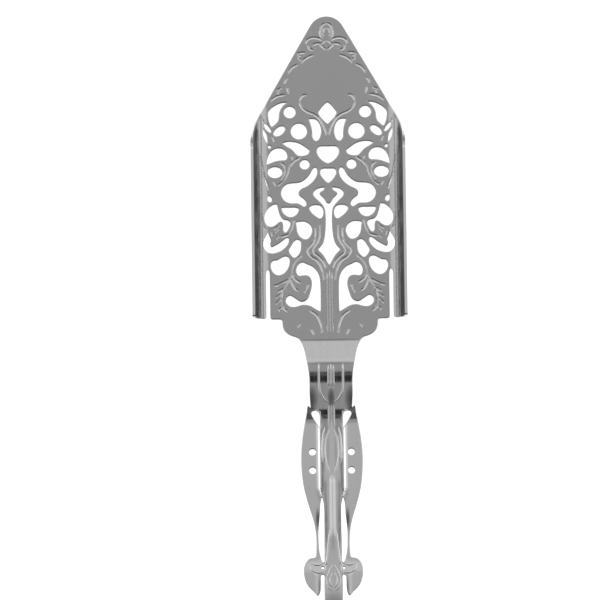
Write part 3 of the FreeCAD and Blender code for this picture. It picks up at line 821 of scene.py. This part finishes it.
def beside_lines():
    """Rows of points along the pressed lines; a row stops where another line is nearer."""
    finder, _ = line_finder()
    kept = []
    for line in blade_lines:
        path = along_metal(evenly(*passed_smoothly(line, False), line_step))
        ahead = unit(np.gradient(path, axis=0))
        aside = np.stack([-ahead[:, 1], ahead[:, 0]], axis=1)
        for offset in [at for at, _ in groove_slopes] + [-at for at, _ in groove_slopes[1:]]:
            for x, y in path + aside * offset:
                if finder.find((x, y, 0.0))[2] > abs(offset) - row_slack:
                    kept += [(x, y), (-x, y)]
    return np.array(kept)


def filled(rims, extra):
    """Triangles between the rims, through the extra points; new points may appear."""
    verts = np.vstack(rims + [extra])
    edges = []
    start = 0
    for rim in rims:
        count = len(rim)
        edges += [(start + i, start + (i + 1) % count) for i in range(count)]
        start += count
    plan = [Vector((float(x), float(y))) for x, y in verts]
    found = delaunay_2d_cdt(plan, edges, [], 0, 1e-6, True)
    points = np.array([(v.x, v.y) for v in found[0]])
    triangles = np.array(found[2])
    walls = {tuple(sorted(edge)) for edge, source in zip(found[1], found[4]) if source}
    metal = in_metal(points, triangles, walls, rims)
    origin = [ids[0] if ids else -1 for ids in found[3]]
    return points, triangles[metal].tolist(), origin


def in_metal(points, triangles, walls, rims):
    """True for the triangles of the metal; all triangles between the same rims agree."""
    beside = {}
    for index, (a, b, c) in enumerate(triangles.tolist()):
        for edge in ((a, b), (b, c), (c, a)):
            key = tuple(sorted(edge))
            if key not in walls:
                beside.setdefault(key, []).append(index)
    joined = [[] for _ in triangles]
    for pair in beside.values():
        if len(pair) == 2:
            joined[pair[0]].append(pair[1])
            joined[pair[1]].append(pair[0])
    a, b, c = (points[triangles[:, i]] for i in range(3))
    size = np.abs((b - a)[:, 0] * (c - a)[:, 1] - (b - a)[:, 1] * (c - a)[:, 0])
    hit = inside((a + b + c) / 3, rims)
    metal = np.zeros(len(triangles), dtype=bool)
    done = np.zeros(len(triangles), dtype=bool)
    for largest in np.argsort(-size):
        if done[largest]:
            continue
        done[largest] = True
        waiting = [largest]
        while waiting:
            index = waiting.pop()
            metal[index] = hit[largest] and size[largest] > sliver
            for other in joined[index]:
                if not done[other]:
                    done[other] = True
                    waiting.append(other)
    return metal


def sheet_mesh(name, loops):
    """The whole spoon: rims of every loop, upper face and under face, with true normals."""
    rings = list(zip(rim_rings(), lip_rings))
    places = []
    normals = []
    cut = []
    faces = []
    upper_ids = []
    under_ids = []
    upper_rims = []
    under_rims = []
    count = 0
    for loop in loops:
        out, reach = towards_opening(loop)
        size = len(loop)
        on_lip = (np.abs(loop[:, 0]) > blank_half - lip_zone)[:, None]
        for index, (rim, lip) in enumerate(rings):
            inset, depth, turn = np.where(on_lip, lip, rim).T
            turn = np.radians(turn)[:, None]
            plan = loop - out * (inset * reach)[:, None]
            place, normal, across, along = upper_face(plan, index < upper_rings)
            places.append(place - through_sheet(plan, normal) * depth[:, None])
            side = across * out[:, :1] + along * out[:, 1:]
            normals.append(unit(side * np.sin(turn) + normal * np.cos(turn)))
            # Walls of openings: rougher cut metal with painted shade, weak in the fold and none on
            # the lip
            in_fold = cut_in_fold * comes_in(np.abs(plan[:, 0]), cut_fades)
            rough = np.where(on_lip, 0.0, np.sin(turn) ** 4)[:, 0] * (1 - in_fold)
            # the upper rings also take the patches of painted shade
            cut.append(np.maximum(rough, painted_shade(plan) * (index < upper_rings)))
            base = count + index * size
            if index == 0:
                upper_rims.append(plan)
                upper_ids += list(range(base, base + size))
            if index == len(rings) - 1:
                under_rims.append(plan)
                under_ids += list(range(base, base + size))
            if index:
                for i in range(size):
                    j = (i + 1) % size
                    faces.append((base - size + j, base - size + i, base + i, base + j))
        count += size * len(rings)
    for rims, ids, depth, up in ((upper_rims, upper_ids, 0.0, True),
                                 (under_rims, under_ids, sheet, False)):
        points, triangles, origin = filled(rims, inner_points(loops, up))
        place, normal, _, _ = upper_face(points, up)
        index = []
        fresh = []
        for i, source in enumerate(origin):
            if 0 <= source < len(ids):
                index.append(ids[source])
            else:
                index.append(count + len(fresh))
                fresh.append(i)
        places.append((place - through_sheet(points, normal) * depth)[fresh])
        normals.append((normal if up else -normal)[fresh])
        # patches of painted shade on the upper face
        cut.append(painted_shade(points)[fresh] * up)
        count += len(fresh)
        for a, b, c in triangles:
            corners = (index[a], index[b], index[c])
            faces.append(corners if up else corners[::-1])
    mesh = bpy.data.meshes.new(name)
    mesh.from_pydata((np.vstack(places) * MM).tolist(), [], faces)
    mesh.polygons.foreach_set("use_smooth", [True] * len(mesh.polygons))
    mesh.attributes.new("cut edge and painted shade", "FLOAT", "POINT")
    mesh.attributes["cut edge and painted shade"].data.foreach_set("value", np.concatenate(cut))
    mesh.normals_split_custom_set_from_vertices(np.vstack(normals).tolist())
    mesh.update()
    return mesh


def raised_lines():
    """Even points of every raised line with its width and height."""
    lines = [(evenly(*passed_smoothly(points, False), line_step), handle_line)
             for points in handle_lines]
    for x, start, finish, size in centre_ribs:
        count = int(abs(start - finish) / line_step)
        line = np.stack([np.full(count, x), np.linspace(start, finish, count)], axis=1)
        lines.append((line, size))
    flip = np.array([-1, 1])
    return lines + [(line * flip, size) for line, size in lines if np.abs(line[:, 0]).max() > 0]


def raised_paths(loops):
    """Half-sunk paths of every raised line: places and radius, cut where the metal ends."""
    rims = np.vstack(loops)
    verts = []
    radii = []
    edges = []
    for line, (width, height) in raised_lines():
        ball = (width ** 2 / 4 + height ** 2) / (2 * height)
        good = inside(line, loops) & clear_of(line, rims, line_clear)
        place, normal, _, _ = upper_face(line)
        ends = np.linspace(0, 1, len(line))
        grown = ease(np.minimum(ends, 1 - ends) * len(line) / line_taper)
        shape = line_end + (1 - line_end) * grown
        deep = (ball - height) * shape
        base = len(verts)
        verts += list((place - normal * deep[:, None]) * MM)
        radii += list(ball * shape * MM)
        edges += [(base + i, base + i + 1) for i in range(len(line) - 1)
                  if good[i] and good[i + 1]]
    return verts, radii, edges


def placed(name, data):
    """A new object in the scene."""
    made = bpy.data.objects.new(name, data)
    bpy.context.scene.collection.objects.link(made)
    return made


def bead_tree(steel):
    """Geometry nodes that sweep a round bead along every path."""
    tree = bpy.data.node_groups.new("Raised lines", "GeometryNodeTree")
    face = tree.interface
    face.new_socket("Geometry", in_out="INPUT", socket_type="NodeSocketGeometry")
    sides = face.new_socket("Sides", in_out="INPUT", socket_type="NodeSocketInt")
    sides.default_value = bead_sides
    face.new_socket("Geometry", in_out="OUTPUT", socket_type="NodeSocketGeometry")
    add = tree.nodes.new
    inlet = add("NodeGroupInput")
    outlet = add("NodeGroupOutput")
    path = add("GeometryNodeMeshToCurve")
    size = add("GeometryNodeInputNamedAttribute")
    size.data_type = "FLOAT"
    size.inputs["Name"].default_value = "bead"
    bead = add("GeometryNodeCurvePrimitiveCircle")
    bead.inputs["Radius"].default_value = 1.0
    sweep = add("GeometryNodeCurveToMesh")
    sweep.inputs["Fill Caps"].default_value = True
    smooth = add("GeometryNodeSetShadeSmooth")
    real = add("GeometryNodeRealizeInstances")
    paint = add("GeometryNodeSetMaterial")
    paint.inputs["Material"].default_value = steel
    for start, leaves, end, enters in (
            (inlet, "Geometry", path, "Mesh"),
            (path, "Curve", sweep, "Curve"),
            (size, "Attribute", sweep, "Scale"),
            (inlet, "Sides", bead, "Resolution"),
            (bead, "Curve", sweep, "Profile Curve"),
            (sweep, "Mesh", smooth, "Geometry"),
            (smooth, "Geometry", real, "Geometry"),
            (real, "Geometry", paint, "Geometry"),
            (paint, "Geometry", outlet, "Geometry")):
        tree.links.new(start.outputs[leaves], end.inputs[enters])
    return tree


def make_raised_lines(loops, steel):
    """Every raised line, swept by the geometry nodes and kept as one plain mesh."""
    verts, radii, edges = raised_paths(loops)
    mesh = bpy.data.meshes.new("line_paths")
    mesh.from_pydata(verts, edges, [])
    bead = mesh.attributes.new("bead", "FLOAT", "POINT")
    bead.data.foreach_set("value", radii)
    guide = placed("line_paths", mesh)
    sweep = guide.modifiers.new("Sweep", "NODES")
    sweep.node_group = bead_tree(steel)
    sides = next(item for item in sweep.node_group.interface.items_tree if item.name == "Sides")
    sweep[sides.identifier] = bead_sides
    bpy.context.view_layer.update()
    ready = guide.evaluated_get(bpy.context.evaluated_depsgraph_get())
    plain_mesh = bpy.data.meshes.new_from_object(ready)
    bpy.data.objects.remove(guide)
    return placed("raised_lines", plain_mesh)


def worked_out(tree, kind, operation, value, other=None):
    """Result of a math node for a value and, where it takes two, a fixed one."""
    node = tree.nodes.new(kind)
    node.operation = operation
    tree.links.new(value, node.inputs[0])
    if other is not None:
        node.inputs[1].default_value = other
    return node.outputs["Value"]


def fold_shade_mask(tree, place):
    """How much painted shade darkens the inside of the folded sides."""
    split = tree.nodes.new("ShaderNodeSeparateXYZ")
    flat = tree.nodes.new("ShaderNodeCombineXYZ")
    tree.links.new(place, split.inputs["Vector"])
    side = worked_out(tree, "ShaderNodeMath", "ABSOLUTE", split.outputs["X"])
    tree.links.new(side, flat.inputs["X"])
    tree.links.new(split.outputs["Z"], flat.inputs["Z"])
    centre = (flat_half * MM, 0.0, (sheet + fold_radius) * MM)
    reach = worked_out(tree, "ShaderNodeVectorMath", "DISTANCE", flat.outputs["Vector"], centre)
    within = worked_out(tree, "ShaderNodeMath", "LESS_THAN", reach, mid_radius * MM)
    steps = [(at * MM, level) for at, level in fold_shade_steps]
    low, high = (at * MM for at in fold_shade_range)
    return mixed(tree, shades(tree, side, low, high, steps), within, "MULTIPLY")


def grey(level):
    """Colour of a grey level."""
    return (level, level, level, 1.0)


def noise(tree, place, scale, detail):
    """Soft noise over the places of a surface."""
    cloud = tree.nodes.new("ShaderNodeTexNoise")
    cloud.inputs["Scale"].default_value = scale
    cloud.inputs["Detail"].default_value = detail
    tree.links.new(place, cloud.inputs["Vector"])
    return cloud.outputs["Fac"]


def towards(tree, factor, start, level, kind):
    """Moves a roughness (FLOAT) or a tone (RGBA) towards a fixed level."""
    mix = tree.nodes.new("ShaderNodeMix")
    mix.data_type = kind
    mix.inputs["B"].default_value = grey(level) if kind == "RGBA" else level
    tree.links.new(factor, mix.inputs["Factor"])
    tree.links.new(start, mix.inputs["A"])
    return mix.outputs["Result"]


def polished_steel():
    """Polished stainless steel with faint lines of polishing and a soft haze, with painted shade
    in the folds, on the cut walls and in patches.
    """
    material = bpy.data.materials.new("Polished stainless steel")
    material.use_nodes = True
    tree = material.node_tree
    link = tree.links.new
    shader = tree.nodes["Principled BSDF"]
    shader.inputs["Metallic"].default_value = 1.0
    place = tree.nodes.new("ShaderNodeTexCoord").outputs["Object"]
    stretch = tree.nodes.new("ShaderNodeMapping")
    stretch.inputs["Scale"].default_value = polish_scale
    link(place, stretch.inputs["Vector"])
    rough = tree.nodes.new("ShaderNodeMapRange")
    rough.inputs["From Min"].default_value, rough.inputs["From Max"].default_value = noise_range
    rough.inputs["To Min"].default_value, rough.inputs["To Max"].default_value = bright_rough
    lines = noise(tree, stretch.outputs["Vector"], scale=1.0, detail=4.0)
    link(lines, rough.inputs["Value"])
    tone = tree.nodes.new("ShaderNodeMix")
    tone.data_type = "RGBA"
    tone.inputs["A"].default_value, tone.inputs["B"].default_value = map(grey, bright_tones)
    haze = noise(tree, place, scale=haze_scale, detail=3.0)
    link(haze, tone.inputs["Factor"])
    # Painted shade inside the folded sides
    fold_shade = fold_shade_mask(tree, place)
    # Painted shade and rougher metal at cut edges, and the patches of painted shade
    cut_and_shade = tree.nodes.new("ShaderNodeAttribute")
    cut_and_shade.attribute_name = "cut edge and painted shade"
    colour = towards(tree, fold_shade, tone.outputs["Result"], fold_shade_tone, "RGBA")
    colour = towards(tree, cut_and_shade.outputs["Fac"], colour, cut_and_shade_tone, "RGBA")
    roughness = towards(tree, fold_shade, rough.outputs["Result"], fold_rough, "FLOAT")
    roughness = towards(tree, cut_and_shade.outputs["Fac"], roughness, cut_rough, "FLOAT")
    link(colour, shader.inputs["Base Color"])
    link(roughness, shader.inputs["Roughness"])
    return material


def make_spoon(loops, steel):
    """The whole sheet as one object."""
    mesh = sheet_mesh("spoon_sheet", loops)
    mesh.materials.append(steel)
    return placed("spoon_sheet", mesh)


def make_floor():
    """Pale table, lit from within a little as a light table is."""
    mesh = bpy.data.meshes.new("floor")
    half = floor_half
    mesh.from_pydata([(-half, -half, 0), (half, -half, 0), (half, half, 0), (-half, half, 0)],
                     [], [(0, 1, 2, 3)])
    material = bpy.data.materials.new("Pale floor")
    material.use_nodes = True
    shader = material.node_tree.nodes["Principled BSDF"]
    shader.inputs["Base Color"].default_value = grey(floor_tone)
    shader.inputs["Roughness"].default_value = floor_rough
    shader.inputs["Specular IOR Level"].default_value = 0.0
    shader.inputs["Emission Color"].default_value = grey(1.0)
    shader.inputs["Emission Strength"].default_value = floor_glow
    mesh.materials.append(material)
    return placed("floor", mesh)


def make_camera():
    """Far camera a little south of straight above, turned a little, with the scene's tones."""
    data = bpy.data.cameras.new("camera")
    data.sensor_width = sensor_width
    data.lens = sensor_width * camera_distance / view_width
    data.clip_end = 20.0
    camera = placed("camera", data)
    away = south_at(camera_elevation)
    camera.location = Vector(view_centre) + away * camera_distance
    aim = (-away).to_track_quat("-Z", "Y").to_matrix().to_4x4()
    camera.matrix_world = (Matrix.Translation(camera.location) @ aim
                           @ Matrix.Rotation(-camera_roll, 4, "Z"))
    bpy.context.scene.camera = camera
    bpy.context.scene.view_settings.view_transform = "Standard"


def south_at(elevation):
    """Direction of a place in the south of the sky."""
    return Vector((0.0, -math.cos(elevation), math.sin(elevation)))


def shades(tree, value, low, high, steps):
    """Brightness ramp over a value that runs from low to high."""
    share = tree.nodes.new("ShaderNodeMapRange")
    share.inputs["From Min"].default_value = low
    share.inputs["From Max"].default_value = high
    ramp = tree.nodes.new("ShaderNodeValToRGB")
    stops = ramp.color_ramp.elements
    stops.remove(stops[1])
    steps = sorted(((at - low) / (high - low), level) for at, level in steps)
    for index, (at, level) in enumerate(steps):
        stop = stops[0] if index == 0 else stops.new(at)
        stop.position = at
        stop.color = grey(level)
    tree.links.new(value, share.inputs["Value"])
    tree.links.new(share.outputs["Result"], ramp.inputs["Fac"])
    return ramp.outputs["Color"]


def angle_to(tree, place, direction):
    """Degrees between a direction of the sky and a fixed one."""
    dot = worked_out(tree, "ShaderNodeVectorMath", "DOT_PRODUCT", place, direction)
    angle = worked_out(tree, "ShaderNodeMath", "ARCCOSINE", dot)
    return worked_out(tree, "ShaderNodeMath", "DEGREES", angle)


def mixed(tree, one, other, way):
    """Two brightnesses joined in a blend mode."""
    both = tree.nodes.new("ShaderNodeMix")
    both.data_type = "RGBA"
    both.blend_type = way
    both.inputs["Factor"].default_value = 1.0
    tree.links.new(one, both.inputs["A"])
    tree.links.new(other, both.inputs["B"])
    return both.outputs["Result"]


def make_sky():
    """Studio light: grey overhead, a pale ring round it, dark low down and at the lens."""
    world = bpy.data.worlds.new("studio")
    bpy.context.scene.world = world
    world.use_nodes = True
    tree = world.node_tree
    place = tree.nodes.new("ShaderNodeTexCoord").outputs["Generated"]
    split = tree.nodes.new("ShaderNodeSeparateXYZ")
    tree.links.new(place, split.inputs["Vector"])
    ring = shades(tree, angle_to(tree, place, (0, 0, 1)), 0, 180, sky_steps)
    south = shades(tree, split.outputs["Y"], -1, 1, south_steps)
    lens = shades(tree, angle_to(tree, place, south_at(shade_elevation)), 0, 180, lens_shade_steps)
    gap = shades(tree, angle_to(tree, place, south_at(gap_elevation)), 0, 180, gap_steps)
    lens = mixed(tree, lens, gap, "LIGHTEN")
    light = mixed(tree, mixed(tree, ring, south, "MULTIPLY"), lens, "MULTIPLY")
    tree.links.new(light, tree.nodes["Background"].inputs["Color"])


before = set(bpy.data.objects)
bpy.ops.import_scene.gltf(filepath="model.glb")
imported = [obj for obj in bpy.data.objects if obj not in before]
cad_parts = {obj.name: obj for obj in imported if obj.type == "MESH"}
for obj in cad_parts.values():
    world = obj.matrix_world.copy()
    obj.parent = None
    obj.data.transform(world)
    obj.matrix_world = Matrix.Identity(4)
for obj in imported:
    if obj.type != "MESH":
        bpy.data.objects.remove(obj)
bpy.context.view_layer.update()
loops = all_loops()
steel = polished_steel()
spoon = make_spoon(loops, steel)
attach(spoon, "root")
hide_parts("spoon")
lines = make_raised_lines(loops, steel)
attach(lines, "root")
floor = make_floor()
make_sky()
make_camera()
